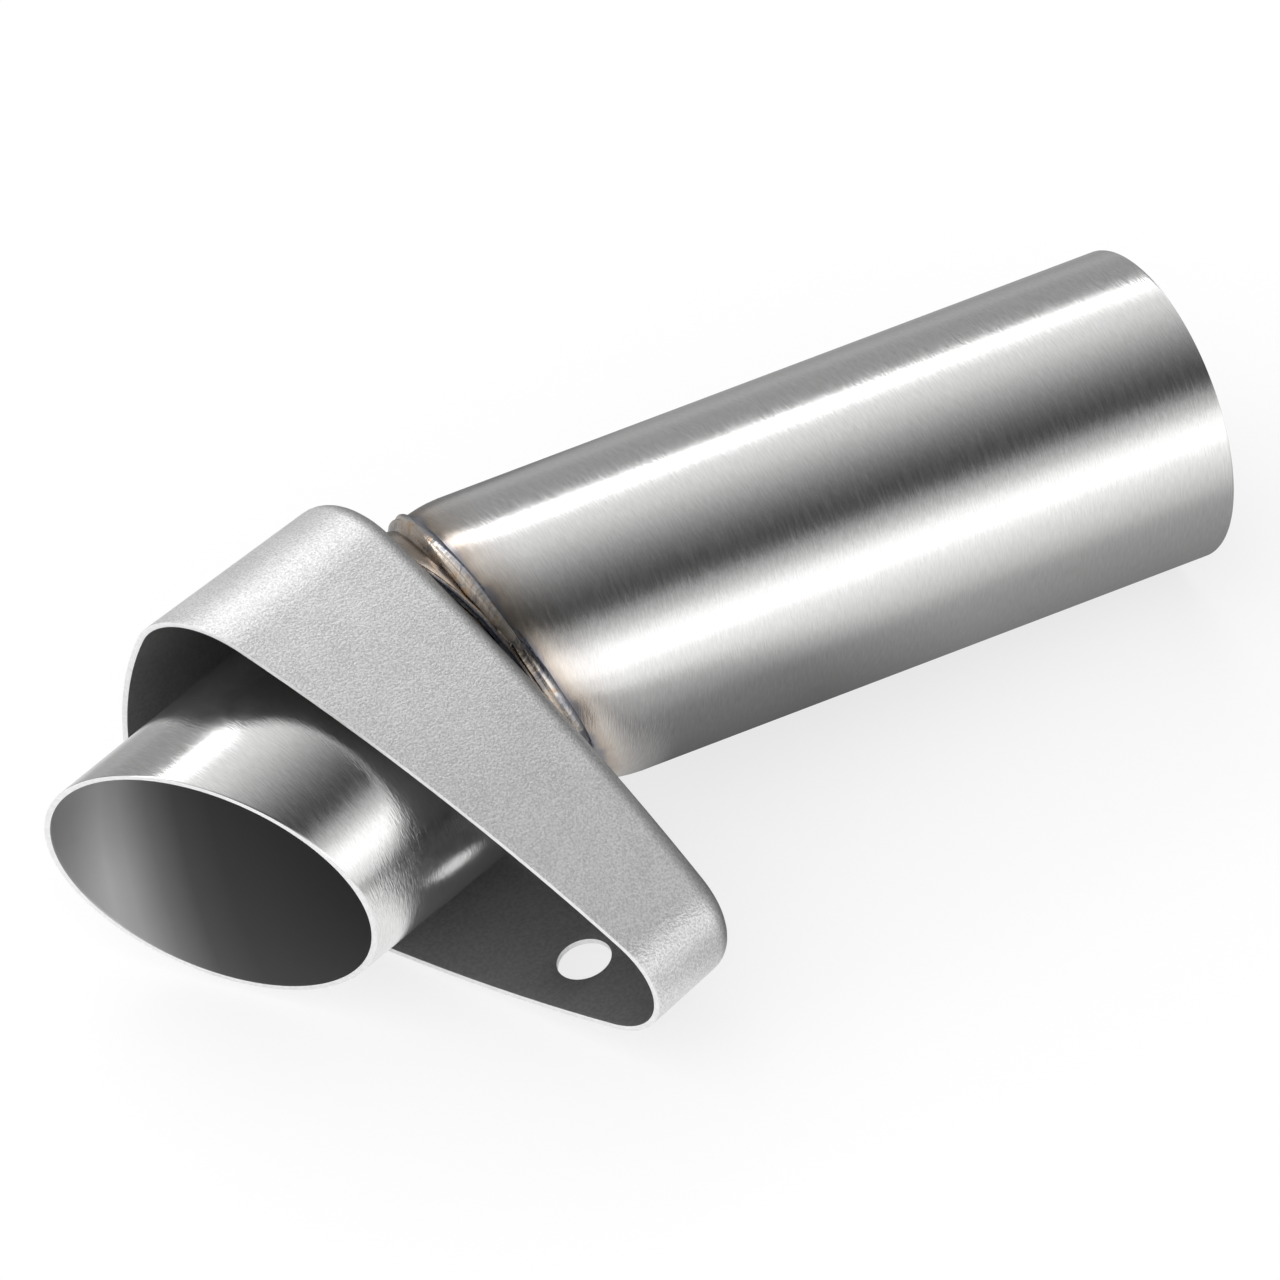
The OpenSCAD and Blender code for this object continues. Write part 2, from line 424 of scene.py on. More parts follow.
# %% A group that draws brushed scratches
COARSE_ALONG = 0.4
COARSE_AROUND = 0.45
brushed, given, gives = node_group(
    "Brushed scratches",
    [("Along", NUMBER, 0.0), ("Around", NUMBER, 0.0), ("Lines per mm", NUMBER, 5.0),
     ("Streaks per radian", NUMBER, 12.0)],
    [("Scratch", NUMBER), ("Shine", NUMBER)])
per_metre = math_node(brushed, "MULTIPLY", given["Lines per mm"], 1 / MM)
lines = math_node(brushed, "MULTIPLY", given["Along"], per_metre)
streaks = math_node(brushed, "MULTIPLY", given["Around"], given["Streaks per radian"])
coarse_lines = math_node(brushed, "MULTIPLY", lines, COARSE_ALONG)
coarse_streaks = math_node(brushed, "MULTIPLY", streaks, COARSE_AROUND)
for label, place in (("Scratch", joined(brushed, lines, streaks)),
                     ("Shine", joined(brushed, coarse_lines, coarse_streaks))):
    feed(brushed, gives[label], noise_node(brushed, place, 1.0, roughness=0.6))

# %% [markdown]
# ## Grain and uneven edges
#
# Blasted and dull metal has no scratches but a fine grain, a little cloudy over wider patches.
# Tints and shadows on it never end on a straight line either. Both effects are in several
# finishes, so each is a group that is built once and placed with its own numbers. The second one
# takes the place where a colour would change, and shifts it to and fro by a slow noise.

# %% A group that draws fine grain
CLOUD_SHARE = 0.15
grainy, given, gives = node_group(
    "Metal grain",
    [("Point", VECTOR, (0, 0, 0)), ("Grains per metre", NUMBER, 2000.0),
     ("Clouds per metre", NUMBER, 160.0)],
    [("Grain", NUMBER), ("Cloud", NUMBER), ("Shade", NUMBER)])
grain = noise_node(grainy, given["Point"], given["Grains per metre"], roughness=0.6)
cloud = noise_node(grainy, given["Point"], given["Clouds per metre"], detail=3.0)
both = weighed_sum(grainy, grain, cloud, CLOUD_SHARE)
for label, value in (("Grain", grain), ("Cloud", cloud), ("Shade", both)):
    feed(grainy, gives[label], value)

# %% A group that makes an edge uneven
NOISE_MIDDLE = 0.5
uneven, given, gives = node_group(
    "Uneven edge",
    [("Place", NUMBER, 0.0), ("Point", VECTOR, (0, 0, 0)), ("Waves per metre", NUMBER, 240.0),
     ("Sway", NUMBER, 0.1)],
    [("Place", NUMBER)])
wave = noise_node(uneven, given["Point"], given["Waves per metre"])
wave = math_node(uneven, "SUBTRACT", wave, NOISE_MIDDLE)
sway = math_node(uneven, "MULTIPLY", wave, given["Sway"])
feed(uneven, gives["Place"], math_node(uneven, "ADD", given["Place"], sway))

# %% [markdown]
# ## The tubes' steel, with its heat tint
#
# Welding heat colours the steel beside the joint: nearly black at the bead, then brown and straw,
# and clean metal about a finger's width away. The colours lie in bands along the joint plane, so
# a Color Ramp over the distance from that plane paints them, and the uneven group breaks their
# edges up. Each tint below is a distance in millimetres and its colour. The scratches are a bump
# of a fiftieth of a millimetre, because a deeper one looks like hammered metal.

# %% The tubes' brushed steel
STEEL = (0.88, 0.875, 0.87)
MAIN_TINTS = [(0.0, (0.30, 0.29, 0.30)), (1.2, (0.32, 0.31, 0.33)), (1.9, (0.60, 0.52, 0.45)),
              (3.0, (0.76, 0.70, 0.64)), (5.0, (0.80, 0.775, 0.755)), (8.0, STEEL)]
OUTLET_TINTS = [(0.0, (0.34, 0.31, 0.29)), (1.5, (0.45, 0.38, 0.32)), (3.0, (0.58, 0.51, 0.44)),
                (6.0, (0.66, 0.60, 0.54)), (10.0, STEEL)]
TINT_SWAY = 2.5 * MM
SCRATCH_SHARE = 0.75
SCRATCH_DEPTH = 0.02 * MM
row_joint = PLACE @ joint_mid
row_up = (turn @ joint_up).normalized()
row_outlet = (turn @ Z_AXIS).normalized()


def brushed_steel(name, axis, away, tints):
    """Steel brushed round a tube's axis, with tints that run away from the joint plane."""
    material, tree, shader = new_material(name)
    point = coordinates(tree)
    measure = placed_group(tree, round_tube, {"Point": point, "Middle": row_joint, "Axis": axis,
                                              "Side": axis.orthogonal().normalized()})
    scratch = placed_group(tree, brushed, {"Along": measure["Along"], "Around": measure["Around"]})
    from_joint = distance_along(tree, point, row_joint, away)
    swayed = placed_group(tree, uneven, {"Place": from_joint, "Point": point, "Waves per metre": 220.0,
                                         "Sway": TINT_SWAY})["Place"]
    reach = tints[-1][0]
    tint = ramp_node(tree, remap_node(tree, swayed, 0.0, reach * MM),
                     [(place / reach, colour) for place, colour in tints])
    streaks = weighed_sum(tree, scratch["Shine"], scratch["Scratch"], SCRATCH_SHARE)
    feed_all(tree, shader, {
        "Base Color": multiplied(tree, tint, remap_node(tree, streaks, 0.3, 0.7, 0.86, 1.0)),
        "Metallic": 1.0,
        "Roughness": remap_node(tree, scratch["Shine"], 0.25, 0.75, 0.15, 0.24),
        "Normal": bump_node(tree, scratch["Scratch"], SCRATCH_DEPTH)})
    return material


main_steel = brushed_steel("Brushed steel of the main tube", row_main, row_up, MAIN_TINTS)
outlet_steel = brushed_steel("Brushed steel of the outlet tube", row_outlet, -row_up, OUTLET_TINTS)

# %% [markdown]
# ## The cup's steel and the cut edges
#
# The cup is blasted to a pale satin outside. Inside it is dull, and its grey is kept low as painted
# shade in the hollow. Its rounded back edge turns away from the light, and a painted shade darkens
# it. That band could be painted by hand, but the depth below the flat back already tells how far the
# rounding has turned: 1 at the back, and 0 at the wall. The cut edges are nearly white, because
# fresh metal lies open there and catches the light.

# %% Plain finishes
# Painted shade on the rounded back edge: greys from the wall, at 0, to the flat back, at 1.
EDGE_PAINTED_SHADE = [(0.0, 1.0), (0.15, 1.0), (0.55, 0.55), (0.88, 0.42), (0.97, 0.85), (1.0, 0.9)]
GRAIN_LOW, GRAIN_HIGH = 0.38, 0.62
GRAIN_STRENGTH = 0.8
row_back = PLACE @ Vector((0, 0, 0))


def painted_edge_shade(tree, point, colour):
    """Paints shade on the cup's rounded back edge, which turns away from the light."""
    depth = distance_along(tree, point, row_back, -row_outlet)
    rounding = remap_node(tree, depth, 0.0, EDGE_R * MM, 1.0, 0.0)
    return multiplied(tree, colour, ramp_node(tree, rounding, EDGE_PAINTED_SHADE))


def plain_steel(name, low, high, metallic, roughness, grains, depth, with_edge_shade=False):
    """Metal between two greys, with a fine grain of so many grains per metre and that depth."""
    material, tree, shader = new_material(name)
    point = coordinates(tree)
    pattern = placed_group(tree, grainy, {"Point": point, "Grains per metre": grains})
    colour = ramp_node(tree, pattern["Shade"], [(GRAIN_LOW, low), (GRAIN_HIGH, high)])
    feed_all(tree, shader, {
        "Base Color": painted_edge_shade(tree, point, colour) if with_edge_shade else colour,
        "Metallic": metallic,
        "Roughness": roughness,
        "Normal": bump_node(tree, pattern["Grain"], depth, GRAIN_STRENGTH)})
    return material


# The cup's outside carries the painted shade on its rounded back edge.
cup_steel = plain_steel("Blasted steel of the cup", low=0.70, high=1.0, metallic=0.60, roughness=0.32,
                        grains=3600.0, depth=0.12 * MM, with_edge_shade=True)
# Inside, the cup's dull grey is kept low as painted shade in the hollow.
cup_inside_painted_shade = plain_steel("Dull steel inside the cup, with painted shade", low=0.20, high=0.25, metallic=0.5, roughness=0.5,
                         grains=2200.0, depth=0.03 * MM)
cut_steel = plain_steel("Bright cut edges", low=0.86, high=0.94, metallic=0.4, roughness=0.45,
                        grains=1500.0, depth=0.01 * MM)

# %% [markdown]
# ## The bores
#
# Looking into the outlet, the near wall is grey, a soft pale band follows, and the depth is nearly
# black. Lamps alone would need a very exact place to give that, so that light and shade is painted
# into the colour: the grey follows the depth, measured from the longest point of the lip and a little
# aslant, as the light falls in. The pale band is a painted highlight and the dark depth a painted
# shade. The main tube's bore is measured from 8 mm outside its end, so it begins with the pale band.

# %% A bore with painted shade that darkens with depth
# Painted light and shade in a bore: grey at the lip, a painted pale band, then a painted dark depth.
BORE_PAINTED_LIGHT_AND_SHADE = [(0.0, 0.26), (0.15, 0.40), (0.33, 0.66), (0.45, 0.60), (0.62, 0.34), (0.80, 0.18),
               (1.0, 0.14)]
BORE_REACH = 24.0 * MM
BORE_SWAY = 0.6 * MM
BORE_GRAIN = 0.01 * MM
BEFORE_END = 8.0 * MM
ASLANT = 0.5


def bore_with_painted_shade(name, start, inward):
    """Dull steel with painted light and shade: its grey follows the depth inward from a start."""
    material, tree, shader = new_material(name)
    point = coordinates(tree)
    pattern = placed_group(tree, grainy, {"Point": point, "Grains per metre": 1800.0,
                                          "Clouds per metre": 300.0})
    depth = distance_along(tree, point, start, inward)
    swayed = placed_group(tree, uneven, {"Place": depth, "Point": point, "Waves per metre": 300.0,
                                         "Sway": BORE_SWAY})["Place"]
    feed_all(tree, shader, {
        "Base Color": ramp_node(tree, remap_node(tree, swayed, 0.0, BORE_REACH), BORE_PAINTED_LIGHT_AND_SHADE),
        "Metallic": 0.35,
        "Roughness": remap_node(tree, pattern["Cloud"], 0.25, 0.75, 0.36, 0.44),
        "Normal": bump_node(tree, pattern["Grain"], BORE_GRAIN, GRAIN_STRENGTH)})
    return material


lip = Vector((-BORE_R, 0, -MOUTH_REACH - BORE_R * math.tan(MOUTH_SLANT)))
row_across = (turn @ Vector((1, 0, 0))).normalized()
outlet_bore = bore_with_painted_shade("Dull bore of the outlet tube, with painted shade", PLACE @ lip, row_outlet + ASLANT * row_across)
main_bore = bore_with_painted_shade("Dull bore of the main tube, with painted shade", row_end + BEFORE_END * row_main, -row_main)

# %% [markdown]
# ## The beads' metal
#
# Weld metal freezes smooth and shiny, in the colours of steel that was hot in air: dark edges, tan
# flanks and a blue-grey shadow side. The dark edges and the blue-grey side are heat tint together
# with painted shade, for the creases at the bead's toes. The bands run along the bead, so they follow
# its UVs, which hold the place round the tube and the place across the bead. A noise adds blue and
# brown patches, and a faint bump draws the lines in which the metal froze.

# %% The beads' tinted metal
# Bands across the bead: the dark ends at both toes are heat tint and painted crease shade.
BEAD_TINT_AND_SHADE = [(0.0, (0.16, 0.14, 0.13)), (0.12, (0.40, 0.34, 0.29)), (0.35, (0.62, 0.54, 0.46)),
              (0.58, (0.72, 0.66, 0.60)), (0.76, (0.44, 0.45, 0.48)), (0.92, (0.24, 0.26, 0.31)),
              (1.0, (0.12, 0.12, 0.14))]
BEAD_PATCHES = [(0.36, (0.42, 0.48, 0.62)), (0.46, 1.0), (0.58, 1.0), (0.68, (0.95, 0.70, 0.48))]
PATCH_SHARE = 0.75
FREEZE_LINES_ROUND = 340.0
FREEZE_LINES_ACROSS = 2.5
FREEZE_DEPTH = 0.03 * MM


def tinted_weld_with_shade():
    """Smooth bead metal in tan, brown and blue-grey, with painted shade in its dark edges, and faint
    freeze lines.
    """
    material, tree, shader = new_material("Heat-tinted weld with painted shade")
    point = coordinates(tree)
    place = split(tree, coordinates(tree, "UV"))
    across = placed_group(tree, uneven, {"Place": place[1], "Point": point, "Waves per metre": 260.0,
                                         "Sway": 0.35})["Place"]
    patches = noise_node(tree, point, 520.0, detail=3.0, distortion=0.6)
    freeze = joined(tree, math_node(tree, "MULTIPLY", place[0], FREEZE_LINES_ROUND),
                    math_node(tree, "MULTIPLY", place[1], FREEZE_LINES_ACROSS))
    feed_all(tree, shader, {
        "Base Color": multiplied(tree, ramp_node(tree, across, BEAD_TINT_AND_SHADE),
                                 ramp_node(tree, patches, BEAD_PATCHES, "EASE"), PATCH_SHARE),
        "Metallic": 1.0,
        "Roughness": remap_node(tree, patches, 0.3, 0.7, 0.14, 0.28),
        "Normal": bump_node(tree, noise_node(tree, freeze, 1.0), FREEZE_DEPTH)})
    return material


weld_metal = tinted_weld_with_shade()

# %% [markdown]
# ## Finishing a piece
#
# Cut metal never has a knife edge, so every sharp edge gets a small bevel, which is what catches
# the light as a thin white line. The mesh is then moved into the row's frame, its flat and round
# faces are shaded smooth up to a set angle, and the object stands in for its CAD node.

# %% Helpers for finished pieces
EDGE_BREAK = 0.09
BREAK_FROM = math.radians(45)
SHARP_ANGLE = math.radians(24)


def break_edges(bm):
    """Bevels every edge whose two faces meet at a sharp corner."""
    edges = [e for e in bm.edges if len(e.link_faces) == 2 and e.calc_face_angle(0) > BREAK_FROM]
    bmesh.ops.bevel(bm, geom=edges, offset=EDGE_BREAK, offset_type="OFFSET", segments=2, profile=0.5,
                    affect="EDGES", clamp_overlap=True, material=-1)


def finish_piece(bm, name, node, materials, choose=None):
    """Makes the object of a mesh drawn in the working frame, and lets it stand for its CAD node."""
    bmesh.ops.recalc_face_normals(bm, faces=bm.faces)
    if bm.calc_volume(signed=True) < 0:
        bmesh.ops.reverse_faces(bm, faces=bm.faces)
    if choose:
        for face in bm.faces:
            face.material_index = choose(face)
    bmesh.ops.transform(bm, matrix=PLACE, verts=bm.verts)
    mesh = bpy.data.meshes.new(name)
    bm.to_mesh(mesh)
    bm.free()
    mesh.polygons.foreach_set("use_smooth", [True] * len(mesh.polygons))
    mesh.set_sharp_from_angle(angle=SHARP_ANGLE)
    piece = bpy.data.objects.new(name, mesh)
    bpy.context.scene.collection.objects.link(piece)
    for material in materials:
        mesh.materials.append(material)
    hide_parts(node)
    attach(piece, "root")
    print(name, "has", len(mesh.polygons), "faces")


# %% [markdown]
# ## The two tubes
#
# Both tubes are cut from the same stock, with plane cuts: the mouth, the mitre and the square end.
# A thin closed section is spun into a straight tube. Then its end rings are slid along the tube
# until they lie in the planes of the cuts, which is what a saw leaves, and keeps every ring
# even. Extra rings near the mitre let the weld draw the tube in a little, as it does when it cools.

# %% Spin, slant and shrink the tubes
ROUND_STEPS = 256
RIM_INSET = 0.3
EDGE_RINGS = (0.0, RIM_INSET)
JOINT_RINGS = (0.0, 0.3, 0.7, 1.1, 1.5, 2.0, 2.6, 3.4, 4.4, 6.0)
FAR = 500.0
SINK = 0.8
MAIN_SINK_REACH = 3.0
OUTLET_SINK_REACH = 1.6


def sunk(distance):
    """How far the weld has drawn a tube in, at a distance from the joint plane."""
    reach = MAIN_SINK_REACH if distance > 0 else OUTLET_SINK_REACH
    return SINK * math.exp(-(distance / reach) ** 2)


def drawn_in(out):
    """The way the weld draws a point in: towards the axis, but within the joint plane."""
    return out.dot(joint_up) * joint_up - out


def radial(point, axis):
    """The part of a point's offset from the joint's middle that is square to a tube's axis."""
    offset = point - joint_mid
    return offset - offset.dot(axis) * axis


def on_cut(x, y, cut):
    """The height at which a line along Z meets a cut, which is a point and a normal."""
    point, normal = cut
    return point.z - ((x - point.x) * normal.x + (y - point.y) * normal.y) / normal.z


def spun_tube(low_cut, high_cut, low_rings, high_rings):
    """A tube round Z between two slanted cuts, with rings at given distances from each."""
    bm = bmesh.new()
    heights = list(low_rings) + [FAR - ring for ring in reversed(high_rings)]
    section = [(TUBE_R, height) for height in heights] + [(BORE_R, height) for height in reversed(heights)]
    loop = [bm.verts.new((radius, 0, height)) for radius, height in section]
    for first, second in zip(loop, loop[1:] + loop[:1]):
        bm.edges.new((first, second))
    bmesh.ops.spin(bm, geom=bm.verts[:] + bm.edges[:], cent=(0, 0, 0), axis=(0, 0, 1), angle=2 * math.pi,
                   steps=ROUND_STEPS, use_merge=True)
    for vert in bm.verts:
        x, y, height = vert.co
        if height < FAR / 2:
            vert.co.z = height + on_cut(x, y, low_cut)
        else:
            vert.co.z = height - FAR + on_cut(x, y, high_cut)
    return bm


def shrink_and_break(bm, axis):
    """Draws a tube in at the joint, and breaks its sharp edges."""
    for vert in bm.verts:
        vert.co += sunk((vert.co - joint_mid).dot(joint_up)) * drawn_in(radial(vert.co, axis).normalized())
    break_edges(bm)
    return bm


# %% Choose a finish for each face, and finish both tubes
OUTSIDE, INSIDE, CUT = 0, 1, 2
SKIN_LEAN = 0.8
WELDED_WITHIN = 0.8


def tube_finish(axis):
    """A chooser of finishes: brushed outside, dull with painted shade inside, bright where a cut is open
    to view.
    """
    def choose(face):
        middle = face.calc_center_median()
        lean = face.normal.dot(radial(middle, axis).normalized())
        welded = abs((middle - joint_mid).dot(joint_up)) < WELDED_WITHIN
        return OUTSIDE if lean > SKIN_LEAN else INSIDE if lean < -SKIN_LEAN or welded else CUT
    return choose


outlet_blank = spun_tube((mouth_mid, mouth_up), (joint_mid, joint_up), EDGE_RINGS, JOINT_RINGS)
finish_piece(shrink_and_break(outlet_blank, Z_AXIS), "Outlet_tube", "outlet_tube",
             [outlet_steel, outlet_bore, cut_steel], tube_finish(Z_AXIS))

main_turn = Matrix((main_x, main_y, main_dir)).transposed()
main_joint = (Vector((0, 0, 0)), joint_up @ main_turn)
main_blank = spun_tube(main_joint, (MAIN_LEN * Z_AXIS, Z_AXIS), JOINT_RINGS, EDGE_RINGS)
to_joint = Matrix.Translation(joint_mid) @ main_turn.to_4x4()
bmesh.ops.transform(main_blank, matrix=to_joint, verts=main_blank.verts)
finish_piece(shrink_and_break(main_blank, main_dir), "Main_tube", "main_tube",
             [main_steel, main_bore, cut_steel], tube_finish(main_dir))

# %% [markdown]
# ## The pressed cup
#
# A press draws the cup from sheet: the wall flares by its draft, and the back edge is rounded by
# the punch. Its section is the same all the way round, so the section is drawn once, with
# the rounded edge spun about its own centre, and is then spun about each arc of the outline in turn.
# Neighbours meet in the same section, so merging their doubles closes the wall.

# %% Draw the wall's section
KNUCKLE_X = -EDGE_R * (1 - math.sin(DRAFT)) / math.cos(DRAFT)
FLAT_STRIP = 2.0
EDGE_STEPS = 9
SKIRT = 40.0


def section(bm, radius, skin):
    """One skin of the wall, outside the origin at a radius: flat strip, rounded edge, straight skirt."""
    bend = EDGE_R - skin
    knuckle = Vector((radius + KNUCKLE_X, 0, -EDGE_R))
    top = bm.verts.new(knuckle + Vector((0, 0, bend)))
    bm.edges.new((bm.verts.new(top.co - Vector((FLAT_STRIP, 0, 0))), top))
    spun = bmesh.ops.spin(bm, geom=[top], cent=knuckle, axis=(0, 1, 0), angle=math.pi / 2 - DRAFT,
                          steps=EDGE_STEPS)
    last = [v for v in spun["geom_last"] if isinstance(v, bmesh.types.BMVert)][0]
    foot = bm.verts.new(last.co + SKIRT * Vector((math.sin(DRAFT), 0, -math.cos(DRAFT))))
    bm.edges.new((last, foot))


def wall_patch(bm, middle, radius, start, end, steps):
    """Spins the section about one arc of the outline."""
    patch = bmesh.new()
    for skin in (0.0, SHEET):
        section(patch, radius, skin)
    turned = Matrix.Rotation(start, 3, "Z")
    bmesh.ops.rotate(patch, cent=(0, 0, 0), matrix=turned, verts=patch.verts)
    bmesh.ops.spin(patch, geom=patch.verts[:] + patch.edges[:], cent=(0, 0, 0), axis=(0, 0, 1),
                   angle=end - start, steps=steps)
    bmesh.ops.translate(patch, vec=middle, verts=patch.verts)
    holder = bpy.data.meshes.new("patch")
    patch.to_mesh(holder)
    patch.free()
    bm.from_mesh(holder)
    bpy.data.meshes.remove(holder)


# %% [markdown]
# ## Cutting the rim
#
# The spun wall is two open skins, and its rim is a slanted plane cut. A Boolean could trim it, but a
# bisect of each skin is simpler and adds no stray edges. The skins are cut at the plane, what is
# beyond goes, and a bridge between the two open loops makes the wall's bright end.

# %% Helpers for plane cuts
ON_PLANE = 0.01
CUT_TOLERANCE = 0.001


def open_loops(bm, point, normal):
    """The open edges that lie in a plane."""
    return [e for e in bm.edges if e.is_boundary
            and all(abs((v.co - point).dot(normal)) < ON_PLANE for v in e.verts)]


def slice_at(bm, point, normal, clear=False):
    """Cuts new edges where a plane crosses a mesh, and can clear what lies beyond it."""
    everything = bm.verts[:] + bm.edges[:] + bm.faces[:]
    bmesh.ops.bisect_plane(bm, geom=everything, dist=CUT_TOLERANCE, plane_co=point, plane_no=normal,
                           clear_outer=clear)


def cut_end(bm, point, normal):
    """Cuts a wall's two skins at a plane and joins them. A loop just inside keeps the shading flat."""
    slice_at(bm, point - RIM_INSET * normal, normal)
    slice_at(bm, point, normal, clear=True)
    bmesh.ops.bridge_loops(bm, edges=open_loops(bm, point, normal))


# %% [markdown]
# ## Drilling the cup
#
# The two holes could be cut into the outline by hand, but the screw hole sits in a curved and
# drafted wall, where that is tedious. A Boolean with a cylinder does what the drill does, and its
# exact solver leaves clean edges. It works on a closed body, so the back is filled and the rim is
# cut and closed first, and the new edges are broken afterwards.

# %% Cut holes with Booleans
DRILL_LEN = 12.0


def cutter(name, radius, place):
    """A cylinder that a Boolean takes away."""
    bm = bmesh.new()
    bmesh.ops.create_cone(bm, cap_ends=True, segments=ROUND_STEPS // 2, radius1=radius, radius2=radius,
                          depth=DRILL_LEN)
    bmesh.ops.transform(bm, matrix=place, verts=bm.verts)
    mesh = bpy.data.meshes.new(name)
    bm.to_mesh(mesh)
    bm.free()
    piece = bpy.data.objects.new(name, mesh)
    bpy.context.scene.collection.objects.link(piece)
    return piece


def drill(bm, cutters):
    """Takes the cutters away from a closed mesh, and removes them."""
    mesh = bpy.data.meshes.new("blank")
    bm.to_mesh(mesh)
    bm.free()
    blank = bpy.data.objects.new("blank", mesh)
    bpy.context.scene.collection.objects.link(blank)
    for tool in cutters:
        step = blank.modifiers.new(tool.name, "BOOLEAN")
        step.operation = "DIFFERENCE"
        step.solver = "EXACT"
        step.object = tool
    drilled = bpy.data.meshes.new_from_object(blank.evaluated_get(bpy.context.evaluated_depsgraph_get()))
    result = bmesh.new()
    result.from_mesh(drilled)
    for waste in (blank, *cutters):
        bpy.data.objects.remove(waste)
    return result


# %% Spin the wall, fill the back, cut the rim and drill
TIP_STEPS = 40
SIDE_STEPS = 16
CORNER_STEPS = 28
END_STEPS = 16
SEAM = 0.002
HALF_WALL = ((side_mid, SIDE_R, tip_turn, side_turn, SIDE_STEPS),
             (corner_mid, CORNER_R, side_turn, corner_turn, CORNER_STEPS))


def pressed_cup():
    """The whole cup: wall, back, slanted rim, and its two holes."""
    bm = bmesh.new()
    wall_patch(bm, tip_mid, TIP_R, -tip_turn, tip_turn, TIP_STEPS)
    for middle, radius, start, end, steps in HALF_WALL:
        wall_patch(bm, middle, radius, start, end, steps)
    wall_patch(bm, end_mid, END_R, corner_turn, 2 * math.pi - corner_turn, END_STEPS)
    flip = Matrix.Diagonal((1, -1, 1))
    for middle, radius, start, end, steps in reversed(HALF_WALL):
        wall_patch(bm, flip @ middle, radius, -end, -start, steps)
    bmesh.ops.remove_doubles(bm, verts=bm.verts, dist=SEAM)
    for depth in (0.0, -SHEET):
        level = Vector((0, 0, depth))
        bmesh.ops.contextual_create(bm, geom=open_loops(bm, level, Z_AXIS))
    cut_end(bm, rim_mid, -rim_up)
    bmesh.ops.recalc_face_normals(bm, faces=bm.faces)
    turned = screw_dir.to_track_quat("Z", "Y").to_matrix().to_4x4()
    bm = drill(bm, [cutter("screw drill", SCREW_D / 2, Matrix.Translation(screw_at) @ turned),
                    cutter("tube drill", TUBE_R + HOLE_GAP, Matrix())])
    break_edges(bm)
    return bm


# %% Choose the cup's finishes and finish it
CUP_MIDDLE = Vector((TUBE_R / 2, 0, -CUP_DEPTH / 2))
NEAR_CUT = EDGE_BREAK + 0.02
ALONG_HOLE = 0.5


def cup_finish(face):
    """Blasted outside, dull with painted shade inside, bright at the rim and in the screw hole."""
    middle = face.calc_center_median()
    from_hole = middle - screw_at
    bore = (from_hole - from_hole.dot(screw_dir) * screw_dir).length
    in_hole = bore < SCREW_D / 2 + NEAR_CUT and abs(face.normal.dot(screw_dir)) < ALONG_HOLE
    if in_hole or (middle - rim_mid).dot(rim_up) < NEAR_CUT:
        return CUT
    return OUTSIDE if face.normal.dot(middle - CUP_MIDDLE) > 0 else INSIDE


finish_piece(pressed_cup(), "End_cup", "end_cup", [cup_steel, cup_inside_painted_shade, cut_steel], cup_finish)

# %% [markdown]
# ## The weld beads
#
# The welder went round twice and let the torch weave, so the bead at the mitre looks like two
# smooth strands laid over each other, with a crease where they cross. Both beads start as a
# plain ring: a short section is spun right round the outlet tube, so that each of its points has
# an angle round the tube and a place across the bead. The points are then moved to where the
# bead lies, and raised by the strands. The angle and the place are kept as UVs for the tints.

# %% Where a tube meets the joint plane
def on_skin(angle):
    """The direction square to the outlet tube's skin, at an angle round it."""
    return Vector((math.cos(angle), math.sin(angle), 0))


def skin_point(direction, out, along):
    """A point on a tube's skin, at a distance along the tube from the joint plane."""
    point = TUBE_R * out
    on_plane = joint_mid + point - direction * (point.dot(joint_up) / direction.dot(joint_up))
    return on_plane + along * direction + sunk(along * direction.dot(joint_up)) * drawn_in(out)


# %% The strands and ripples of a bead
TWISTS = 3
STRAND_HALF = 0.50
STRAND_SWAY = 0.46
STRAND_PHASE = 0.21
STRAND_LEVEL = 0.82
STRAND_CROSSING = 0.18
WEAVE_WANDER = 0.25
WIDTH_WANDER = 0.15
RIPPLE = 0.006


def slow_noise(angle, scale, seed):
    """Smooth noise from about -1 to 1 that closes on itself round the tube."""
    return noise.noise(Vector((math.cos(angle) * scale, math.sin(angle) * scale, seed)))


def strand(angle, place, phase):
    """The height of one strand: a round ridge that weaves from side to side, over and under."""
    weave = TWISTS * angle + phase + WEAVE_WANDER * slow_noise(angle, 3.0, phase)
    middle = STRAND_SWAY * math.sin(weave)
    over = STRAND_LEVEL - STRAND_CROSSING * math.cos(weave)
    half = STRAND_HALF * (1 + WIDTH_WANDER * slow_noise(angle, 4.0, phase + 5))
    return over * math.sqrt(max(0.0, 1 - ((place - middle) / half) ** 2))


def ripple(angle, pitch, lag):
    """The height of the fine ripples in which a bead freezes, at a pitch in millimetres."""
    return RIPPLE * math.sin(TUBE_R * angle * 2 * math.pi / pitch + lag)


# %% The points of both beads
BEAD_SPREAD, BEAD_WANDER = 1.05, 0.12
FILLET_SPREAD, FILLET_WANDER = 0.85, 0.15
STRAND_RISE = 0.52
SHOULDER_DIP = 0.05
BURIED = 0.15
BURIED_FROM = 0.9
JOINT_PITCH = 1.1
FILLET_PITCH = 1.5
JOINT_ROOT = 0.3
FILLET_ROOT = 0.15


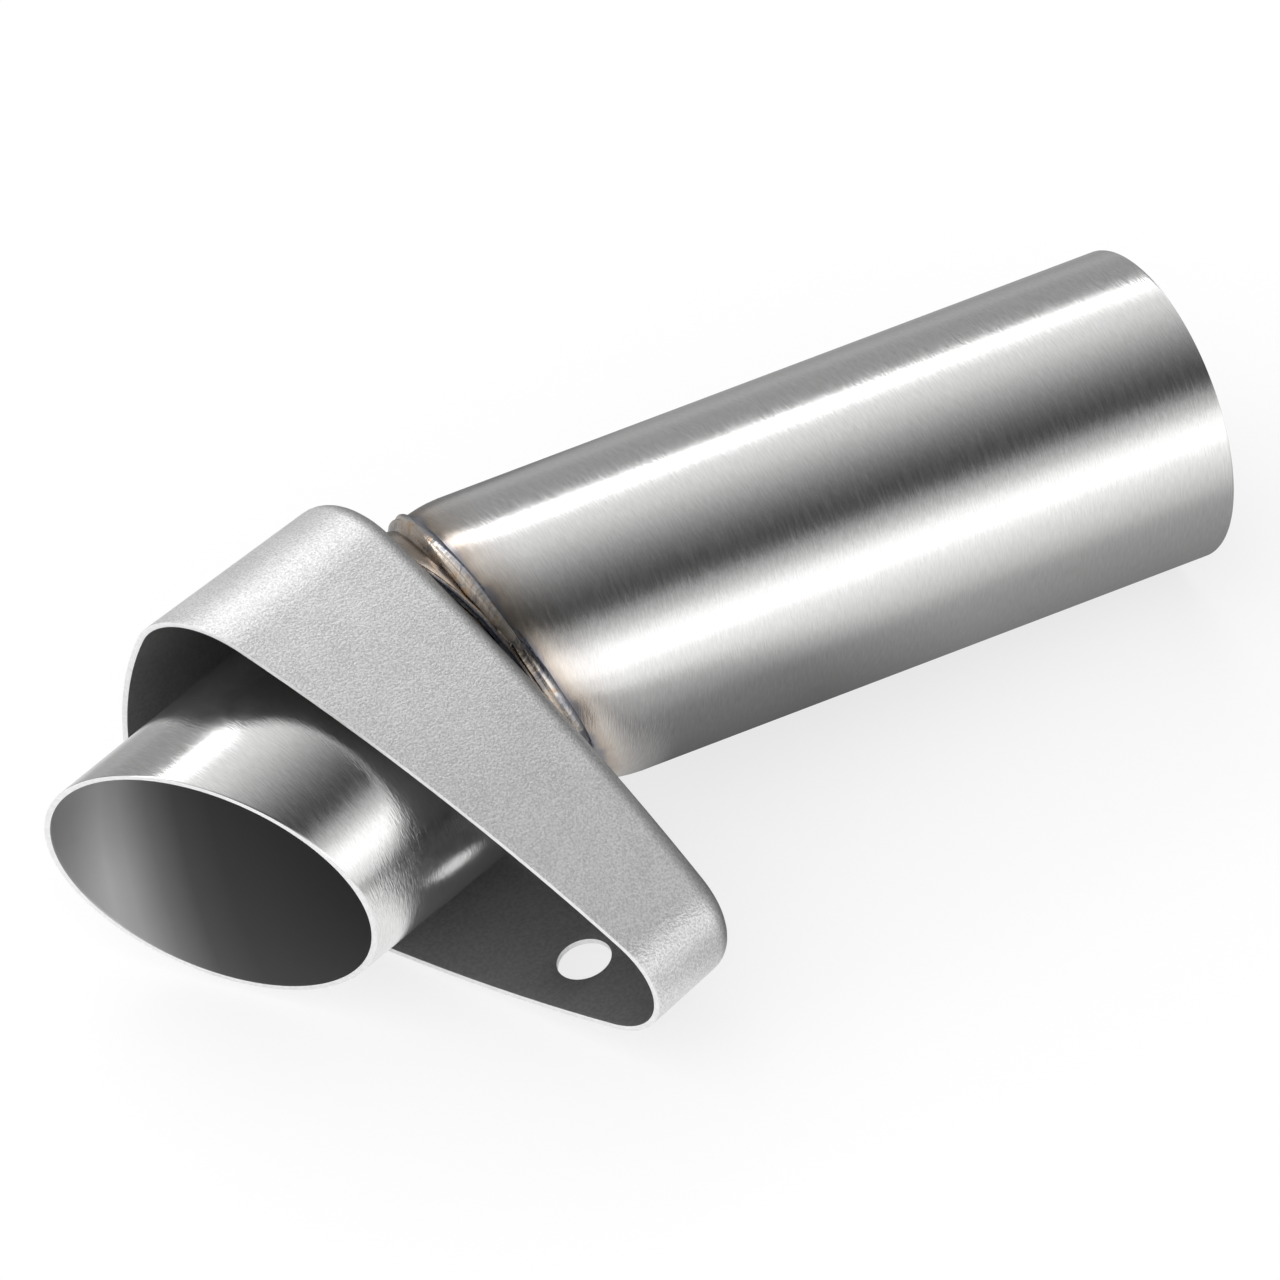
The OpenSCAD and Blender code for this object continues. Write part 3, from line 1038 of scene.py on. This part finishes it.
def joint_bead_point(angle, place):
    """A point of the bead round the mitre. place runs from -1 on the outlet to 1 on the main tube."""
    out_a = on_skin(angle)
    turned = angle - BEND_TURN
    out_b = math.cos(turned) * main_x + math.sin(turned) * main_y
    half = BEAD_W / 2 * (BEAD_SPREAD + BEAD_WANDER * slow_noise(angle, 4.0, place))
    edge_a, foot_a = skin_point(Z_AXIS, out_a, -half), skin_point(Z_AXIS, out_a, 0)
    edge_b, foot_b = skin_point(main_dir, out_b, half), skin_point(main_dir, out_b, 0)
    crown = foot_a if (foot_a - joint_mid).length > (foot_b - joint_mid).length else foot_b
    shoulder = 1 - place * place
    base = edge_a.lerp(edge_b, (place + 1) / 2) + shoulder * (crown - (edge_a + edge_b) / 2)
    rise = max(strand(angle, place, STRAND_PHASE), strand(angle, place, STRAND_PHASE + math.pi))
    height = BEAD_H * (STRAND_RISE * rise * (1 - place ** 4) - SHOULDER_DIP * shoulder)
    height += ripple(angle, JOINT_PITCH, 2 * place * place) * shoulder
    buried = BURIED * max(0.0, abs(place) - BURIED_FROM) / (1 - BURIED_FROM)
    return base + (height - buried) * (out_a + out_b).normalized()


def cup_bead_point(angle, place):
    """A point of the fillet between cup and outlet. place runs from -1 on the tube to 1 on the cup."""
    out = on_skin(angle)
    wide = FILLET_LEG * (FILLET_SPREAD + FILLET_WANDER * slow_noise(angle, 5.0, 7))
    leg = min(wide, skin_point(Z_AXIS, out, 0).z - BEAD_W / 2)
    share = (place + 1) / 2
    level = Vector((0, 0, leg)).lerp(wide * out, share)
    bulge = 4 * share * (1 - share) * leg / 8
    bulge += ripple(angle, FILLET_PITCH, 2 * place) * (1 - place * place)
    return TUBE_R * out + level + bulge * (out + Z_AXIS).normalized()


def joint_root(angle):
    """A point well under the skin, where the joint bead's hidden side lies."""
    return skin_point(Z_AXIS, on_skin(angle), 0) - JOINT_ROOT * on_skin(angle)


def cup_root(angle):
    """A point in the corner between tube and cup, just under their skins."""
    return (TUBE_R - FILLET_ROOT) * on_skin(angle) - FILLET_ROOT * Z_AXIS


# %% Spin both beads
BEAD_STEPS = 900
JOINT_ACROSS = 36
FILLET_ACROSS = 14
ROOT_STEP = 1.0


def weld_ring(point_at, across, root_at):
    """A closed ring of bead: a section spun round Z, then moved point by point."""
    bm = bmesh.new()
    loop = [bm.verts.new((TUBE_R, 0, -1 + 2 * i / across)) for i in range(across + 1)]
    loop.append(bm.verts.new((TUBE_R - ROOT_STEP, 0, 0)))
    for first, second in zip(loop, loop[1:] + loop[:1]):
        bm.edges.new((first, second))
    bmesh.ops.spin(bm, geom=bm.verts[:] + bm.edges[:], cent=(0, 0, 0), axis=(0, 0, 1), angle=2 * math.pi,
                   steps=BEAD_STEPS, use_merge=True)
    uv = bm.loops.layers.uv.new("UVMap")
    for face in bm.faces:
        angles = [math.atan2(corner.vert.co.y, corner.vert.co.x) for corner in face.loops]
        wraps = max(angles) - min(angles) > math.pi
        for corner, angle in zip(face.loops, angles):
            round_share = (angle + (2 * math.pi if wraps and angle < 0 else 0)) / (2 * math.pi)
            corner[uv].uv = (round_share, (corner.vert.co.z + 1) / 2)
    for vert in bm.verts:
        angle = math.atan2(vert.co.y, vert.co.x)
        hidden = vert.co.xy.length < TUBE_R - ROOT_STEP / 2
        vert.co = root_at(angle) if hidden else point_at(angle, max(-1.0, min(1.0, vert.co.z)))
    return bm


joint_bead = weld_ring(joint_bead_point, JOINT_ACROSS, joint_root)
finish_piece(joint_bead, "Joint_weld", "joint_weld", [weld_metal])
cup_bead = weld_ring(cup_bead_point, FILLET_ACROSS, cup_root)
finish_piece(cup_bead, "Cup_weld", "cup_weld", [weld_metal])

# %% [markdown]
# ## The camera
#
# The photograph was taken from far away with a long lens, from the side and above, with the
# camera rolled a little. Such a view has almost no perspective, so a lens far longer than
# the sensor is used, and its distance sets the size of the object in the picture.

# %% Place the camera
bpy.context.scene.view_settings.view_transform = "Standard"
AZIMUTH = math.radians(-28.379)
ELEVATION = math.radians(43.855)
ROLL = math.radians(-3.065)
LENS = 940.944
SENSOR = 36.0
DISTANCE = 3.88666
AIM = Vector((-0.0746333, -0.0093194, 0.0079835))
FAR_CLIP = 50.0
to_right = Vector((math.cos(AZIMUTH), math.sin(AZIMUTH), 0))
backward = Vector((math.sin(AZIMUTH) * math.cos(ELEVATION), -math.cos(AZIMUTH) * math.cos(ELEVATION),
                   math.sin(ELEVATION)))
level = Matrix((to_right, backward.cross(to_right), backward)).transposed()
camera = bpy.data.objects.new("Camera", bpy.data.cameras.new("Camera"))
camera.data.lens = LENS
camera.data.sensor_width = SENSOR
camera.data.clip_end = FAR_CLIP
camera.location = AIM + DISTANCE * backward
camera.rotation_euler = (level @ Matrix.Rotation(ROLL, 3, "Z")).to_euler()
bpy.context.scene.collection.objects.link(camera)
bpy.context.scene.camera = camera
print("camera at, m:", [round(v, 3) for v in camera.location])

# %% [markdown]
# ## The floor
#
# The floor is pale and shows white to the camera, apart from the object's shadow. Polished metal
# mirrors it too, and the floor near the part is dark there, as it is round anything that stands
# on it. A lamp's shadow alone is too weak for that in so bright a room. So a shadow is painted on
# the floor for the rays that come off the metal: a halo along the main tube, dark beside it, darker
# near the joint, pale further out and dim behind, with its zones in metres of the row's frame. Rays
# that spread from a dull surface find a middle grey, which keeps the undersides from glowing.

# %% A pale floor
FLOOR_HALF = 6.0
floor_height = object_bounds()[0].z
floor_mesh = bpy.data.meshes.new("Floor")
bm = bmesh.new()
bmesh.ops.create_grid(bm, x_segments=1, y_segments=1, size=FLOOR_HALF)
bmesh.ops.translate(bm, vec=(0, 0, floor_height), verts=bm.verts)
bm.to_mesh(floor_mesh)
bm.free()
floor = bpy.data.objects.new("Floor", floor_mesh)
bpy.context.scene.collection.objects.link(floor)
print("floor at, mm:", round(floor_height / MM, 2))

# %% The painted shadow that the floor shows to the metal
HALO_PAINTED_SHADOW = [(0.0, 0.20), (0.09, 0.32), (0.16, 0.40), (0.22, 0.60), (0.32, 0.76), (0.55, 0.88), (1.0, 1.0)]
HALO_REACH = 0.25
FADED_FROM = 0.5
JOINT_ZONE, JOINT_SHADOW_GREY = (-0.05, -0.03), 0.6
TUBE_ZONE = (-0.085, -0.07)
BACK_ZONE, BACK_SHADOW_GREY = (0.02, 0.08), 0.42
floor_material, tree, shader = new_material("Pale floor")
spot = split(tree, coordinates(tree))
# Painted shadow on the floor, for the metal's reflections only: dark beside the main tube, darker near the
# joint, dim behind.
beside = remap_node(tree, math_node(tree, "ABSOLUTE", spot[1]), 0.0, HALO_REACH)
joint_painted_shadow = remap_node(tree, spot[0], *JOINT_ZONE, JOINT_SHADOW_GREY, 1.0)
joint_painted_shadow = mix_colour(tree, remap_node(tree, beside, FADED_FROM, 1.0), joint_painted_shadow, 1.0)
halo = multiplied(tree, ramp_node(tree, beside, HALO_PAINTED_SHADOW), joint_painted_shadow)
under_tube = remap_node(tree, spot[0], *TUBE_ZONE)
behind = remap_node(tree, spot[1], *BACK_ZONE, 1.0, BACK_SHADOW_GREY)
painted_shadow_for_metal = multiplied(tree, mix_colour(tree, under_tube, 1.0, halo), behind)

# %% The floor's material
FLOOR_GREY = 0.95
BOUNCE_GREY = 0.5
GLOW_SHARE = 0.72
rays = tree.nodes.new("ShaderNodeLightPath").outputs
# Only glossy rays see the painted shadow; the camera sees the plain pale floor.
colour = mix_colour(tree, rays["Is Glossy Ray"], 1.0, painted_shadow_for_metal)
bounce = mix_colour(tree, rays["Is Diffuse Ray"], colour, BOUNCE_GREY)
feed_all(tree, shader, {"Base Color": multiplied(tree, bounce, FLOOR_GREY), "Roughness": 1.0,
                        "Specular IOR Level": 0.0})
glow = tree.nodes.new("ShaderNodeEmission")
feed_all(tree, glow, {"Color": colour, "Strength": 1.0})
seen = math_node(tree, "MAXIMUM", rays["Is Camera Ray"], rays["Is Glossy Ray"])
blend = tree.nodes.new("ShaderNodeMixShader")
feed(tree, blend.inputs[0], math_node(tree, "MULTIPLY", seen, GLOW_SHARE))
feed(tree, blend.inputs[1], shader.outputs[0])
feed(tree, blend.inputs[2], glow.outputs[0])
feed(tree, tree.nodes["Material Output"].inputs["Surface"], blend.outputs[0])
floor_mesh.materials.append(floor_material)

# %% [markdown]
# ## The studio
#
# Polished metal shows its room and little else. This room has a bright strip low in front, a dark
# zone above it, which the tube shows as a band, a pale roof, and a bright panel high behind.
# Large lamps could build it, but the world can paint the same by direction. Each level belongs
# to an angle in degrees, which climbs from the front over the top to the back. The room fades to
# the right, where the square end looks. Dull surfaces see a plain light that fades that way too.

# %% World
STUDIO = [(-180, 0.36), (-90, 1.0), (-10, 1.3), (10, 1.42), (18, 1.3), (25, 0.88), (31, 0.56), (37, 0.42),
          (42, 0.20), (47, 0.06), (57, 0.06), (69, 0.14), (79, 0.25), (89, 0.40), (99, 0.56), (110, 0.76),
          (122, 0.84), (129, 1.15), (132, 1.35), (137, 1.35), (142, 0.55), (147, 0.31), (165, 0.33),
          (180, 0.36)]
HEADROOM = 1.5
RIGHT_FADE, RIGHT_LEVEL = (0.66, 0.95), 0.25
SOFT_FADE, SOFT_LEVEL = (-0.15, 0.75), 1.55
world = bpy.data.worlds.new("Studio")
bpy.context.scene.world = world
world.use_nodes = True
tree = world.node_tree
way = split(tree, coordinates(tree, "Generated"))
climb = math_node(tree, "ARCTAN2", way[2], math_node(tree, "MULTIPLY", way[1], -1.0))
panels = ramp_node(tree, remap_node(tree, climb, -math.pi, math.pi),
                   [((degrees + 180) / 360, level / HEADROOM) for degrees, level in STUDIO])
panels = multiplied(tree, panels, remap_node(tree, way[0], *RIGHT_FADE, 1.0, RIGHT_LEVEL))
soft = remap_node(tree, way[0], *SOFT_FADE, SOFT_LEVEL / HEADROOM, 0.0)
rays = tree.nodes.new("ShaderNodeLightPath").outputs
studio = mix_colour(tree, rays["Is Glossy Ray"], soft, panels)
feed_all(tree, tree.nodes["Background"], {
    "Color": mix_colour(tree, rays["Is Camera Ray"], studio, 1 / HEADROOM),
    "Strength": HEADROOM})
print("world:", len(STUDIO), "levels, the brightest", max(level for _, level in STUDIO))

# %% [markdown]
# ## The lamp
#
# The world's light comes from all over and casts hardly a shadow. So one real lamp is added: a
# long narrow softbox behind and above, which gives the shadow in front and a crisper light along
# the tube's top. A round lamp would show there as a spot.

# %% A strip light
STRIP_TOWARD = Vector((0.0, 0.72, 0.69))
STRIP_DISTANCE = 1.5
STRIP_SIZE = (1.6, 0.28)
STRIP_POWER = 2.2
strip = bpy.data.lights.new("Strip light behind", "AREA")
strip.shape = "RECTANGLE"
strip.size, strip.size_y = STRIP_SIZE
strip.energy = STRIP_POWER
holder = bpy.data.objects.new("Strip light behind", strip)
holder.location = AIM + STRIP_DISTANCE * STRIP_TOWARD.normalized()
holder.rotation_euler = STRIP_TOWARD.to_track_quat("Z", "Y").to_euler()
bpy.context.scene.collection.objects.link(holder)
print("strip light:", STRIP_POWER, "W at", STRIP_DISTANCE, "m")
